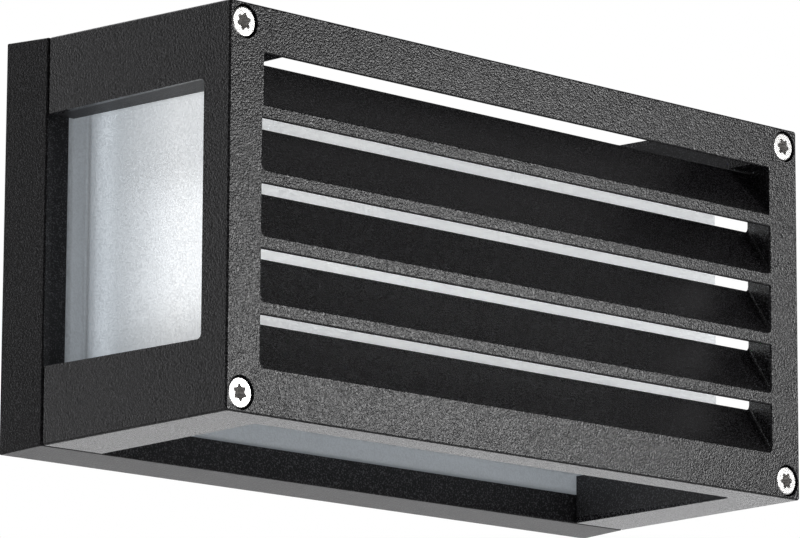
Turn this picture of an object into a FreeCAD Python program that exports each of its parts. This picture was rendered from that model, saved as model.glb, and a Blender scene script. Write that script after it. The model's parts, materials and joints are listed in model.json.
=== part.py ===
import FreeCAD, Part

import math
import os
import re

import Sketcher

# A brick-shaped wall light: a cast base against the wall, a cast louvred cage held on it by four
# long screws, and a flanged glass box between them with a lamp, its holder and the wiring inside.
# Millimetres. +X runs along the light, +Y points into the wall and +Z is up. The origin is the
# centre of the face that lies on the wall, so the front of the light is at -overall_depth.

SIZES = [
    # The outside
    ("front_width", 260, "width of the front face"),
    ("front_height", 126.8, "height of the front face"),
    ("overall_depth", 102.3, "wall to front face"),
    ("base_depth", 18.9, "wall to the front of the base"),
    ("seam_gap", 1, "shadow gap between base and cage"),
    ("cage_growth", 1.8, "draft of the cage, each side, front to seam"),
    ("base_growth", 1, "draft of the base, each side, seam to wall"),
    ("edge_round", 1, "radius of the four long edges of the cage"),
    ("base_round", 0.6, "radius of the outer edges of the base"),
    ("front_round", 0.6, "radius round the front face"),
    ("overrun", 5, "how far a cut runs past what it cuts"),
    # The cage
    ("wall_depth", 11.3, "depth of the louvred front wall"),
    ("side_bar", 14, "front bars at the left and right"),
    ("cross_bar", 14.6, "front bars at the top and bottom"),
    ("opening_draft", 1.5, "how much wider the opening is at its rear, each side"),
    ("cavity_growth", 4.1, "draft of the hollow, each side, front wall to seam"),
    ("arm_height", 23.1, "corner arms beside the side windows, up"),
    ("arm_width", 22.3, "corner arms beside the top and bottom windows, across"),
    ("window_round", 1.8, "corner radius of the windows"),
    ("top_lip", 3.2, "metal left above the highest slot"),
    ("slat_count", 4, "free slats"),
    ("slat_band", 4, "height of a slat's front edge"),
    ("slat_rise", 16, "rise of a slat over the wall depth"),
    ("slat_foot", 0.8, "depth of the flat under a slat's front edge, and under the top bar's"),
    ("slat_tail", 2.6, "height of a slat's rear edge"),
    ("band_round", 0.6, "radius between a slat's edge and its slope"),
    ("lip_round", 0.5, "radius along the lower front edges of the slats and the top bar"),
    ("slat_end_round", 1, "radius between a slat's slope and the side bars"),
    ("screw_inset", 6.1, "screw centre to the edges of the front"),
    ("head_gap", 0.45, "gap round a screw head"),
    ("head_sunk", 0.5, "screw head below the front face"),
    # The four cage screws
    ("screw_across", 6, "M6 shank"),
    ("screw_end", 6.7, "screw tip to the wall"),
    ("head_across", 9.8, "socket head diameter"),
    ("head_height", 6, "socket head height"),
    ("socket_across", 5.6, "six-lobed socket, over the lobes"),
    ("socket_core", 4.2, "its round middle"),
    ("lobe_across", 1.4, "one lobe"),
    ("socket_depth", 3.4, "socket depth"),
    ("head_round", 0.6, "edge radius of the head"),
    ("screw_clearance", 0.3, "gap round a shank"),
    # The base
    ("rim_width", 9, "rim at the left and right of the recess"),
    ("rim_height", 10, "rim above and below the recess"),
    ("recess_round", 8, "corner radius of the recess"),
    ("floor_thick", 3, "floor of the recess"),
    ("hollow_inset", 3, "recess edge to rear hollow"),
    ("rib_thick", 4, "middle rib behind the floor"),
    ("foot_across", 10, "raised pad round each cage screw"),
    ("wall_hole_across", 5.5, "holes for the wall screws"),
    ("wall_inset", 55, "wall holes to the left and right edges of the front"),
    ("wall_margin", 14.9, "wall holes to the upper and lower edges of the tray"),
    ("wall_boss_wall", 3.75, "boss round a wall hole"),
    ("pad_height", 3.4, "pads that carry the tray"),
    ("pad_across", 10, "pad diameter"),
    ("boss_length", 6, "boss behind a pad"),
    ("entry_across", 20, "hole for the cable grommet"),
    ("entry_gap", 13, "cable entry to the terminal block"),
    # The glass and its gasket
    ("flange_gap", 0.6, "flange to recess"),
    ("flange_proud", 0.7, "flange in front of the base"),
    ("flange_thick", 4, "glass flange"),
    ("flange_round", 1.2, "edge radius of the flange"),
    ("gasket_thick", 2, "gasket under the flange"),
    ("gasket_inset", 9, "width of the gasket ring"),
    ("flange_reach", 7, "flange outside the glass box"),
    ("glass_draft", 2.2, "draft of the glass, each side"),
    ("glass_gap", 9.5, "slats to glass"),
    ("glass_wall", 4, "glass thickness"),
    ("glass_round", 6, "long edges of the glass"),
    ("glass_front_round", 2.5, "front edges of the glass"),
    # The white tray
    ("tray_gap", 2.7, "glass to tray"),
    ("tray_depth", 14, "tray with its turned-up edges"),
    ("tray_sheet", 0.8, "sheet thickness"),
    ("tray_round", 4, "corner radius of the tray"),
    ("tray_hole", 16, "tray holes at the wall screws and the cable"),
    ("tray_screw_gap", 25, "tray screws, left of the cable entry"),
    ("tray_screw_margin", 11.9, "tray screws to the upper and lower edges of the tray"),
    ("small_screw", 4, "M4 shank"),
    ("small_screw_length", 8, "under the head"),
    ("small_head", 7.6, "pan head diameter"),
    ("small_head_height", 2.6, "pan head height"),
    ("small_slot", 1, "screwdriver slot width"),
    ("small_slot_depth", 1.2, "screwdriver slot depth"),
    # The lampholder and its bracket
    ("bracket_gap", 7.5, "tray's edge to bracket"),
    ("bracket_sheet", 1.5, "bracket thickness"),
    ("bracket_foot", 15, "bracket foot, along"),
    ("foot_gap", 9.9, "bracket foot to the upper and lower edges of the tray"),
    ("bracket_width", 34, "bracket upright, up"),
    ("bracket_reach", 17, "upright past the lamp axis"),
    ("bracket_round", 6, "corner radius of the upright"),
    ("foot_margin", 5, "bracket screws to the ends of the foot"),
    ("holder_wall", 4.5, "porcelain round the mouth"),
    ("holder_length", 46, "porcelain body length"),
    ("holder_back", 11.5, "porcelain behind the shell"),
    ("shell_fit", 0.1, "shell to porcelain"),
    ("mouth_step", 1.1, "step at the mouth of the porcelain"),
    ("holder_mouth_depth", 5, "depth of the mouth"),
    ("holder_round", 2, "edge radius of the porcelain"),
    ("holder_screw_rise", 12, "holder screws, above and below the axis"),
    ("cap_fit", 0.6, "threaded shell to the cap's thread"),
    ("shell_wall", 0.6, "threaded shell thickness"),
    ("shell_length", 26, "threaded shell length"),
    ("tongue_width", 6, "centre contact strip"),
    ("tongue_sheet", 0.6, "its thickness"),
    ("tongue_foot", 7, "its flat foot"),
    ("lead_hole", 3, "lead entries of the holder"),
    ("lead_hole_depth", 5, "their depth"),
    # The lamp, an E27 tubular lamp
    ("lamp_gap", 0.3, "lamp contact to tongue at rest"),
    ("tongue_height", 3.7, "tongue above the porcelain"),
    ("button_across", 9.5, "lamp contact diameter"),
    ("button_height", 1.8, "lamp contact height"),
    ("ring_across", 18, "insulating ring diameter at the cap"),
    ("ring_height", 3.7, "insulating ring height"),
    ("cap_across", 26.2, "E27 thread, outside"),
    ("thread_depth", 0.9, "E27 thread, crest to root"),
    ("cap_length", 22.5, "threaded cap length"),
    ("thread_pitch", 3.629, "E27 thread pitch"),
    ("thread_turns", 5, "thread turns on the cap"),
    ("neck_step", 0.3, "collar outside the cap"),
    ("neck_length", 6, "straight neck of the collar"),
    ("lamp_across", 38, "lamp diameter"),
    ("collar_length", 28, "lamp collar"),
    ("tube_share", 0.615, "frosted tube's share of the room from collar to terminal block"),
    ("tube_round", 15, "radius of the tube's end"),
    # The terminal block and the earth point
    ("block_gap", 12.5, "tray's edge to terminal block"),
    ("block_drop", 2, "terminal block below the middle"),
    ("block_width", 28, "block, along"),
    ("block_rise", 20, "block, up"),
    ("block_height", 15, "block off the tray"),
    ("block_round", 1, "block edges"),
    ("pole_pitch", 9, "poles apart"),
    ("pole_height", 7, "poles off the tray"),
    ("clamp_across", 5.6, "brass sleeve diameter"),
    ("clamp_wall", 1.1, "brass sleeve thickness"),
    ("clamp_length", 16, "brass sleeve length"),
    ("clamp_fit", 0.1, "gap round a sleeve"),
    ("grub_across", 3, "clamp screw diameter"),
    ("grub_length", 5, "clamp screw length"),
    ("grub_spread", 5, "clamp screws from the block's middle"),
    ("grub_hole", 4, "clamp screw access"),
    ("earth_margin", 13.9, "earth screw to the lower edge of the tray"),
    ("earth_pad", 9, "earth pad diameter"),
    ("earth_proud", 0.4, "earth pad in front of the tray"),
    ("washer_across", 9, "earth washer diameter"),
    ("washer_thick", 0.8, "earth washer and ring thickness"),
    ("ring_width", 9, "ring terminal diameter"),
    ("crimp_length", 7, "ring terminal tail"),
    ("crimp_across", 3.6, "ring terminal crimp"),
    # The grommet and the leads
    ("grommet_bore", 10, "hole for the mains cable"),
    ("grommet_reach", 3, "grommet flanges outside their hole"),
    ("grommet_lip", 2, "grommet flange thickness"),
    ("lead_across", 2.4, "insulated lead"),
    ("lead_bend", 7, "largest bend radius of a lead"),
    ("lead_rest", 0.2, "lead above what it lies on"),
    ("fit_gap", 0.2, "gap round a screw in its own hole"),
]

# Sizes that follow from the ones above
SUMS = [
    ("opening_width", "=front_width - 2 * side_bar", "louvred opening, across"),
    ("opening_height", "=front_height - 2 * cross_bar", "louvred opening, up"),
    ("window_width", "=front_width - 2 * arm_width", "top and bottom windows, across"),
    ("window_height", "=front_height - 2 * arm_height", "side windows, up"),
    ("counterbore_across", "=head_across + 2 * head_gap", "counterbore diameter"),
    ("screw_length", "=overall_depth - head_sunk - head_height - screw_end", "under the head"),
    ("recess_width", "=front_width + 2 * cage_growth - 2 * rim_width", "recess for the flange, across"),
    ("recess_height", "=front_height + 2 * cage_growth - 2 * rim_height", "recess for the flange, up"),
    ("glass_width", "=recess_width - 2 * (flange_gap + flange_reach)", "glass box at its flange, across"),
    ("glass_height", "=recess_height - 2 * (flange_gap + flange_reach)", "glass box at its flange, up"),
    ("tray_width", "=glass_width - 2 * (glass_wall + tray_gap)", "tray, across"),
    ("tray_height", "=glass_height - 2 * (glass_wall + tray_gap)", "tray, up"),
    ("tray_front", "=base_depth - gasket_thick - flange_thick + flange_proud + pad_height + tray_sheet",
     "wall to the front of the tray's floor"),
    ("glass_inside", "=overall_depth - wall_depth - glass_gap - glass_wall", "wall to the glass's inside"),
    ("lamp_depth", "=(tray_front + bracket_sheet + glass_inside) / 2", "wall to lamp axis"),
    ("wall_spacing", "=front_width - 2 * wall_inset", "wall holes, along"),
    ("wall_rise", "=tray_height - 2 * wall_margin", "wall holes, up"),
    ("wall_boss_across", "=wall_hole_across + 2 * wall_boss_wall", "boss round a wall hole"),
    ("block_place", "=tray_width / 2 - block_gap - block_width / 2", "block, right of the middle"),
    ("block_start", "=block_place - block_width / 2", "its left side, right of the middle"),
    ("entry_place", "=block_start - entry_gap", "cable entry, right of the middle"),
    ("earth_place", "=entry_place", "earth screw, right of the middle"),
    ("earth_drop", "=tray_height / 2 - earth_margin", "earth screw below the middle"),
    ("tray_screw_place", "=entry_place - tray_screw_gap", "tray screws, right of the middle"),
    ("tray_screw_rise", "=tray_height / 2 - tray_screw_margin", "tray screws, from the middle"),
    ("bracket_place", "=tray_width / 2 - bracket_gap", "bracket, left of the middle"),
    ("bracket_foot_rise", "=tray_height - 2 * foot_gap", "bracket foot, up"),
    ("bracket_screw_rise", "=bracket_foot_rise / 2 - foot_margin", "bracket screws, from the middle"),
    ("shell_across", "=cap_across + 2 * (cap_fit + shell_wall)", "threaded shell, outside"),
    ("holder_bore", "=shell_across + 2 * shell_fit", "hollow of the porcelain"),
    ("holder_mouth", "=holder_bore + 2 * mouth_step", "mouth of the porcelain"),
    ("holder_across", "=holder_mouth + 2 * holder_wall", "porcelain body diameter"),
    ("cap_root", "=cap_across - 2 * thread_depth", "E27 thread, root"),
    ("neck_across", "=cap_across + 2 * neck_step", "collar at the cap"),
    ("cap_start", "=holder_back - bracket_place + bracket_sheet + tongue_height + lamp_gap"
     " + button_height + ring_height", "start of the cap, right of the middle"),
    ("tube_start", "=cap_start + cap_length + collar_length", "start of the tube, right of the middle"),
    ("tube_length", "=tube_share * (block_start - tube_start)", "frosted tube"),
    ("clamp_bore", "=clamp_across - 2 * clamp_wall", "brass sleeve bore"),
    ("grommet_flange", "=entry_across + 2 * grommet_reach", "grommet flanges"),
]

doc = FreeCAD.newDocument("wall_light")
sheet = doc.addObject("Spreadsheet::Sheet", "sizes")
for row, (alias, size, meaning) in enumerate(SIZES + SUMS, start=1):
    sheet.set("A%d" % row, meaning)
    sheet.set("B%d" % row, str(size))
    sheet.setAlias("B%d" % row, alias)
doc.recompute()

NAMES = {alias for alias, size, meaning in SIZES + SUMS}
WORD = re.compile(r"[a-z][a-z_0-9]*")
NEAR = 0.01
ALONG_SHARE = 0.9
LEAD_RUN_SHARE = 0.45

# Places that several pieces share, as sums of the sheet's sizes
SEAM = "(base_depth + seam_gap)"
FRONT_WALL = "(overall_depth - wall_depth)"
RECESS_DEPTH = "(gasket_thick + flange_thick - flange_proud)"
FLOOR = "(base_depth - %s)" % RECESS_DEPTH
FLOOR_BACK = "(%s - floor_thick)" % FLOOR
FLANGE_FRONT = "(base_depth + flange_proud)"
FLANGE_BACK = "(%s - flange_thick)" % FLANGE_FRONT
GLASS_FRONT = "(glass_inside + glass_wall)"
TRAY_FRONT = "tray_front"
TRAY_BACK = "(tray_front - tray_sheet)"
SLAT_PITCH = "((opening_height + slat_band) / (slat_count + 1))"
SCREW_X = "(front_width / 2 - screw_inset)"
SCREW_Z = "(front_height / 2 - screw_inset)"
HEAD_FRONT = "(overall_depth - head_sunk)"
HOLDER_BACK = "(-(bracket_place) + bracket_sheet)"
HOLDER_FLOOR = "(%s + holder_back)" % HOLDER_BACK
LAMP_TIP = "(%s + tongue_height + lamp_gap)" % HOLDER_FLOOR
CAP_END = "(tube_start - collar_length)"
POLE_DEPTH = "(%s + pole_height)" % TRAY_FRONT

CORNERS = [(1, 1), (-1, 1), (-1, -1), (1, -1)]
LOBES = 6
SOCKET_TURNS = [8, 41, 22, 54]


def bound(text):
    """A sum with each size read from the sheet."""
    return WORD.sub(lambda word: "sizes." + word.group() if word.group() in NAMES else word.group(),
                    text)


def value(text):
    return float(sheet.evalExpression(text))


def vector(x, y, z):
    return FreeCAD.Vector(value(x), value(y), value(z))


def bind(item, settings):
    for name, text in settings.items():
        item.setExpression(name, bound(text))


def place(item, across, depth):
    """Put an item at a point across the light and in front of the wall."""
    bind(item, {"Placement.Base.x": across, "Placement.Base.y": "-(%s)" % depth})


def new_body(label):
    body = doc.addObject("PartDesign::Body", label)
    body.Label = label
    return body


def feature(body, kind, name, settings):
    item = body.newObject("PartDesign::" + kind, "%s_%s" % (body.Name, name))
    bind(item, settings)
    return item


def new_sketch(body, name, role, offset="0"):
    """A sketch on one of the body's own planes, offset along that plane's normal."""
    sketch = body.newObject("Sketcher::SketchObject", "%s_%s" % (body.Name, name))
    plane = [item for item in body.Origin.OriginFeatures if item.Role == role][0]
    sketch.AttachmentSupport = (plane, "")
    sketch.MapMode = "FlatFace"
    bind(sketch, {"AttachmentOffset.Base.z": offset})
    return sketch


def fix(sketch, kind, first, first_end, text):
    """One dimension of a sketch, tied to the sheet."""
    if kind in ("DistanceX", "DistanceY"):
        rule = Sketcher.Constraint(kind, -1, 1, first, first_end, value(text))
    else:
        rule = Sketcher.Constraint(kind, first, value(text))
    number = sketch.addConstraint(rule)
    sketch.setExpression("Constraints[%d]" % number, bound(text))


def draw_polygon(sketch, corners):
    start = sketch.GeometryCount
    count = len(corners)
    points = [vector(across, up, "0") for across, up in corners]
    for k in range(count):
        sketch.addGeometry(Part.LineSegment(points[k], points[(k + 1) % count]))
    for k, (across, up) in enumerate(corners):
        sketch.addConstraint(Sketcher.Constraint("Coincident", start + k, 2, start + (k + 1) % count, 1))
        fix(sketch, "DistanceX", start + k, 1, across)
        fix(sketch, "DistanceY", start + k, 1, up)


def round_corners(sketch, count, radius):
    """Round the corners of the polygon that a sketch starts with."""
    for k in range(count):
        before = (k - 1) % count
        near = [sketch.getPoint(line, 1) + sketch.getPoint(line, 2) for line in (before, k)]
        arc = sketch.GeometryCount
        sketch.fillet(before, k, near[0] / 2, near[1] / 2, value(radius), True, True)
        number = sketch.addConstraint(Sketcher.Constraint("Radius", arc, value(radius)))
        sketch.setExpression("Constraints[%d]" % number, bound(radius))


def draw_circle(sketch, across, up, diameter):
    centre = vector(across, up, "0")
    number = sketch.addGeometry(Part.Circle(centre, FreeCAD.Vector(0, 0, 1), value(diameter) / 2))
    fix(sketch, "DistanceX", number, 3, across)
    fix(sketch, "DistanceY", number, 3, up)
    fix(sketch, "Radius", number, 3, "(%s) / 2" % diameter)


def rectangle(width, height):
    return [("-(%s) / 2" % width, "-(%s) / 2" % height), ("(%s) / 2" % width, "-(%s) / 2" % height),
            ("(%s) / 2" % width, "(%s) / 2" % height), ("-(%s) / 2" % width, "(%s) / 2" % height)]


def pad(body, name, sketch, length, both_ways=False):
    item = feature(body, "Pad", name, {"Length": length})
    item.Profile = sketch
    item.Midplane = both_ways
    return item


def pocket(body, name, sketch, length, both_ways=False, forward=False):
    item = feature(body, "Pocket", name, {"Length": length})
    item.Profile = sketch
    item.Midplane = both_ways
    item.Reversed = forward
    return item


def revolve(body, name, corners, axis):
    """A turned piece from half of its outline, in the XY plane."""
    sketch = new_sketch(body, name + "_outline", "XY_Plane")
    draw_polygon(sketch, corners)
    item = feature(body, "Revolution", name, {})
    item.Profile = sketch
    item.ReferenceAxis = (sketch, [axis])
    item.Angle = 360
    return item


def wedge(body, kind, name, front, back, front_half, back_half):
    """A box between two depths in front of the wall, drafted from one outline to the other."""
    settings = {"Ymin": "-(%s)" % front, "Ymax": "-(%s)" % back}
    for axis, near_size, far_size in (("X", front_half[0], back_half[0]), ("Z", front_half[1], back_half[1])):
        settings[axis + "min"] = "-(%s)" % near_size
        settings[axis + "max"] = near_size
        settings[axis + "2min"] = "-(%s)" % far_size
        settings[axis + "2max"] = far_size
    return feature(body, kind + "Wedge", name, settings)


def mid_point(edge):
    return edge.valueAt((edge.FirstParameter + edge.LastParameter) / 2)


def runs_along(edge, axis):
    run = edge.Vertexes[-1].Point - edge.Vertexes[0].Point
    return run.Length > NEAR and abs(getattr(run, axis)) > ALONG_SHARE * run.Length


def round_edges(body, name, radius, wanted):
    """Round each edge of the body that the test accepts."""
    doc.recompute()
    base = body.Tip
    names = ["Edge%d" % (k + 1) for k, edge in enumerate(base.Shape.Edges) if wanted(edge)]
    item = feature(body, "Fillet", name, {"Radius": radius})
    item.Base = (base, names)
    return item


def at_depth(point, depth):
    return abs(point.y + value(depth)) < NEAR


def shape_node(label, shape):
    node = doc.addObject("Part::Feature", label)
    node.Label = label
    node.Shape = shape


def copies(label, blank, places):
    """Separate copies of one fastener, in one node."""
    doc.recompute()
    solids = []
    for point, turn in places:
        solid = blank.Shape.copy()
        solid.Placement = FreeCAD.Placement(point, turn).multiply(solid.Placement)
        solids.append(solid)
    shape_node(label, Part.makeCompound(solids))


# The cast cage

def make_cage():
    body = new_body("louvre_cage")
    half = ("front_width / 2", "front_height / 2")
    wedge(body, "Additive", "outside", "overall_depth", SEAM, half,
          (half[0] + " + cage_growth", half[1] + " + cage_growth"))
    round_edges(body, "long_edges", "edge_round", lambda edge: runs_along(edge, "y"))
    round_edges(body, "front_edges", "front_round",
                lambda edge: at_depth(edge.CenterOfMass, "overall_depth"))
    opening = ("opening_width / 2", "opening_height / 2")
    inner = (opening[0] + " + opening_draft", opening[1])
    wedge(body, "Subtractive", "opening", "overall_depth", FRONT_WALL, opening, inner)
    wedge(body, "Subtractive", "hollow", FRONT_WALL, SEAM, inner,
          (inner[0] + " + cavity_growth", inner[1]))
    cut_windows(body)
    cut_top_slot(body)
    add_sill(body)
    add_slats(body)
    cut_screw_holes(body)


def window_outline(size):
    """A window from the front wall back past the seam, as seen along its wall."""
    return [("-%s" % FRONT_WALL, "-(%s) / 2" % size), ("-%s + overrun" % SEAM, "-(%s) / 2" % size),
            ("-%s + overrun" % SEAM, "(%s) / 2" % size), ("-%s" % FRONT_WALL, "(%s) / 2" % size)]


def cut_windows(body):
    sketch = new_sketch(body, "side_outline", "YZ_Plane")
    draw_polygon(sketch, window_outline("window_height"))
    pocket(body, "side_windows", sketch, "front_width + 2 * (cage_growth + overrun)", both_ways=True)
    sketch = new_sketch(body, "top_outline", "XY_Plane")
    draw_polygon(sketch, [(up, depth) for depth, up in window_outline("window_width")])
    pocket(body, "top_windows", sketch, "front_height + 2 * (cage_growth + overrun)", both_ways=True)
    round_edges(body, "window_corners", "window_round", is_window_corner)


def is_window_corner(edge):
    middle = mid_point(edge)
    if not at_depth(middle, FRONT_WALL):
        return False
    side = runs_along(edge, "x") and abs(abs(middle.z) - value("window_height / 2")) < NEAR
    top = runs_along(edge, "z") and abs(abs(middle.x) - value("window_width / 2")) < NEAR
    return side or top


def cut_top_slot(body):
    """The highest slot slopes up through the top bar, between the two upper arms."""
    roof = "(front_height / 2 - top_lip)"
    reach = "((%s - opening_height / 2) * wall_depth / slat_rise)" % roof
    sketch = new_sketch(body, "top_slot_outline", "YZ_Plane")
    draw_polygon(sketch, [("-overall_depth + slat_foot", "opening_height / 2"),
                          ("-overall_depth + slat_foot + %s" % reach, roof),
                          ("-%s + overrun" % FRONT_WALL, roof),
                          ("-%s + overrun" % FRONT_WALL, "opening_height / 2 - slat_band"),
                          ("-overall_depth + slat_foot", "opening_height / 2 - slat_band")])
    pocket(body, "top_slot", sketch, "window_width", both_ways=True)


def add_sill(body):
    """The lowest slope runs into the bottom bar."""
    sketch = new_sketch(body, "sill_outline", "YZ_Plane")
    low = "-opening_height / 2"
    draw_polygon(sketch, [("-overall_depth", low), ("-%s" % FRONT_WALL, low + " + slat_rise"),
                          ("-%s" % FRONT_WALL, low + " - slat_band"),
                          ("-overall_depth", low + " - slat_band")])
    pad(body, "sill", sketch, "opening_width + slat_band", both_ways=True)


def add_slats(body):
    low = "(opening_height / 2 - %s)" % SLAT_PITCH
    sketch = new_sketch(body, "slat_outline", "YZ_Plane")
    draw_polygon(sketch, [("-overall_depth + slat_foot", low), ("-overall_depth", low),
                          ("-overall_depth", low + " + slat_band"),
                          ("-%s" % FRONT_WALL, low + " + slat_band + slat_rise"),
                          ("-%s" % FRONT_WALL, low + " + slat_band + slat_rise - slat_tail")])
    slat = pad(body, "slat", sketch, "opening_width + slat_band", both_ways=True)
    doc.recompute()
    pattern = feature(body, "LinearPattern", "slats",
                      {"Occurrences": "slat_count", "Length": "%s * (slat_count - 1)" % SLAT_PITCH})
    pattern.Originals = [slat]
    pattern.Direction = (sketch, ["V_Axis"])
    pattern.Reversed = True
    body.Tip = pattern
    round_edges(body, "slat_ends", "slat_end_round", is_slat_end)
    round_edges(body, "bands", "band_round", is_band_edge)
    round_edges(body, "lips", "lip_round", is_lip_edge)


def is_slat_end(edge):
    """The corner between the upper face of a slat, or the sill, and a side bar.

    The highest slat ends too close under the arms for a radius."""
    middle = mid_point(edge)
    run = edge.Vertexes[-1].Point - edge.Vertexes[0].Point
    across = abs(abs(middle.x) - value("opening_width / 2")) < value("opening_draft")
    sloping = abs(run.z) > value("slat_rise / 2") and abs(run.y) > value("wall_depth / 2")
    steps = (value("opening_height / 2 + slat_band + slat_rise / 2") - middle.z) / value(SLAT_PITCH)
    return across and sloping and round(steps) > 1 and abs(steps - round(steps)) < NEAR


def is_band_edge(edge):
    """The upper edge of a slat's front band, or the front edge of the sill."""
    middle = mid_point(edge)
    if not (runs_along(edge, "x") and at_depth(middle, "overall_depth")):
        return False
    steps = (value("opening_height / 2 + slat_band") - middle.z) / value(SLAT_PITCH)
    inside = abs(middle.z) < value("opening_height / 2 + slat_band / 2")
    return inside and round(steps) >= 1 and abs(steps - round(steps)) < NEAR


def is_lip_edge(edge):
    """The lower front edge of a slat, or of the top bar."""
    middle = mid_point(edge)
    if not (runs_along(edge, "x") and at_depth(middle, "overall_depth")):
        return False
    steps = (value("opening_height / 2") - middle.z) / value(SLAT_PITCH)
    return 0 <= round(steps) <= value("slat_count") and abs(steps - round(steps)) < NEAR


def cut_screw_holes(body):
    head_room = "(head_height + head_sunk)"
    wide = new_sketch(body, "counterbore_outline", "XZ_Plane", "overall_depth")
    narrow = new_sketch(body, "bore_outline", "XZ_Plane", "overall_depth")
    for across, up in CORNERS:
        spot = ("%d * %s" % (across, SCREW_X), "%d * %s" % (up, SCREW_Z))
        draw_circle(wide, spot[0], spot[1], "counterbore_across")
        draw_circle(narrow, spot[0], spot[1], "screw_across + 2 * screw_clearance")
    pocket(body, "counterbores", wide, head_room)
    pocket(body, "bores", narrow, "overall_depth - %s + overrun" % SEAM)


# The cast base

def make_base():
    body = new_body("base_housing")
    front = ("front_width / 2 + cage_growth", "front_height / 2 + cage_growth")
    wedge(body, "Additive", "outside", "base_depth", "0", front,
          (front[0] + " + base_growth", front[1] + " + base_growth"))
    round_edges(body, "long_edges", "base_round", lambda edge: runs_along(edge, "y"))
    round_edges(body, "front_edges", "base_round",
                lambda edge: at_depth(edge.CenterOfMass, "base_depth"))
    sketch = new_sketch(body, "recess_outline", "XZ_Plane", "base_depth")
    draw_polygon(sketch, rectangle("recess_width", "recess_height"))
    pocket(body, "recess", sketch, RECESS_DEPTH)
    sketch = new_sketch(body, "hollow_outline", "XZ_Plane")
    draw_polygon(sketch, rectangle("recess_width - 2 * hollow_inset", "recess_height - 2 * hollow_inset"))
    pocket(body, "hollow", sketch, FLOOR_BACK, forward=True)
    round_edges(body, "hollow_corners", "recess_round", is_base_corner)
    add_base_bosses(body)
    cut_base_holes(body)


def is_base_corner(edge):
    """An inner corner of the recess or of the rear hollow."""
    middle = mid_point(edge)
    recess = abs(abs(middle.x) - value("recess_width / 2")) < NEAR
    hollow = abs(abs(middle.x) - value("recess_width / 2 - hollow_inset")) < NEAR
    return runs_along(edge, "y") and (recess or hollow)


def wall_spots():
    return [("%d * wall_spacing / 2" % across, "%d * wall_rise / 2" % up) for across, up in CORNERS]


def foot_spots():
    return [("%d * %s" % (across, SCREW_X), "%d * %s" % (up, SCREW_Z)) for across, up in CORNERS]


def bracket_spots():
    middle = "(-(bracket_place) + bracket_foot / 2)"
    return [(middle, "bracket_screw_rise"), (middle, "-bracket_screw_rise")]


def tray_spots():
    return [("tray_screw_place", "tray_screw_rise"), ("tray_screw_place", "-tray_screw_rise")]


def add_base_bosses(body):
    sketch = new_sketch(body, "wall_boss_outline", "XZ_Plane")
    for across, up in wall_spots():
        draw_circle(sketch, across, up, "wall_boss_across")
    pad(body, "wall_bosses", sketch, FLOOR_BACK + " + floor_thick / 2")
    sketch = new_sketch(body, "rib_outline", "XZ_Plane")
    draw_polygon(sketch, rectangle("rib_thick", "recess_height - hollow_inset"))
    pad(body, "rib", sketch, FLOOR_BACK + " + floor_thick / 2")
    sketch = new_sketch(body, "pad_outline", "XZ_Plane", FLOOR_BACK + " - boss_length")
    for across, up in bracket_spots() + tray_spots():
        draw_circle(sketch, across, up, "pad_across")
    pad(body, "pads", sketch, "boss_length + floor_thick + pad_height")
    sketch = new_sketch(body, "earth_outline", "XZ_Plane", FLOOR_BACK + " - boss_length")
    draw_circle(sketch, "earth_place", "-earth_drop", "earth_pad")
    pad(body, "earth", sketch, "boss_length + floor_thick + pad_height + tray_sheet + earth_proud")
    sketch = new_sketch(body, "foot_outline", "XZ_Plane", "base_depth - floor_thick")
    for across, up in foot_spots():
        draw_circle(sketch, across, up, "foot_across")
    pad(body, "feet", sketch, "floor_thick + seam_gap")


def cut_base_holes(body):
    sketch = new_sketch(body, "wall_hole_outline", "XZ_Plane", "base_depth")
    for across, up in wall_spots():
        draw_circle(sketch, across, up, "wall_hole_across")
    pocket(body, "wall_holes", sketch, "base_depth + overrun")
    sketch = new_sketch(body, "entry_outline", "XZ_Plane", "base_depth")
    draw_circle(sketch, "entry_place", "0", "entry_across")
    pocket(body, "entry", sketch, "base_depth + overrun")
    sketch = new_sketch(body, "cage_thread_outline", "XZ_Plane", SEAM)
    for across, up in foot_spots():
        draw_circle(sketch, across, up, "screw_across + 2 * screw_clearance")
    depth = "(%s - (%s - head_height - screw_length) + floor_thick / 2)" % (SEAM, HEAD_FRONT)
    pocket(body, "cage_threads", sketch, depth)
    sketch = new_sketch(body, "small_thread_outline", "XZ_Plane", "base_depth")
    for across, up in bracket_spots() + tray_spots() + [("earth_place", "-earth_drop")]:
        draw_circle(sketch, across, up, "small_screw + 2 * fit_gap")
    pocket(body, "small_threads", sketch, "base_depth - (%s - boss_length) - floor_thick / 2" % FLOOR_BACK)


# The glass box and its gasket

def make_glass():
    body = new_body("glass_diffuser")
    rear = ("glass_width / 2", "glass_height / 2")
    front = (rear[0] + " - glass_draft", rear[1] + " - glass_draft")
    wedge(body, "Additive", "box", GLASS_FRONT, FLANGE_BACK, front, rear)
    round_edges(body, "long_edges", "glass_round", lambda edge: runs_along(edge, "y"))
    round_edges(body, "front_edges", "glass_front_round",
                lambda edge: at_depth(edge.CenterOfMass, GLASS_FRONT))
    sketch = new_sketch(body, "flange_outline", "XZ_Plane", FLANGE_BACK)
    draw_polygon(sketch, rectangle("recess_width - 2 * flange_gap", "recess_height - 2 * flange_gap"))
    pad(body, "flange", sketch, "flange_thick")
    round_edges(body, "flange_corners", "recess_round - flange_gap", is_flange_corner)
    round_edges(body, "flange_edges", "flange_round", is_flange_edge)
    inner_rear = (rear[0] + " - glass_wall", rear[1] + " - glass_wall")
    inner_front = (front[0] + " - glass_wall", front[1] + " - glass_wall")
    wedge(body, "Subtractive", "inside", GLASS_FRONT + " - glass_wall", FLANGE_BACK, inner_front, inner_rear)
    round_edges(body, "inner_edges", "glass_round - glass_wall / 2", is_inner_edge)


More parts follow.
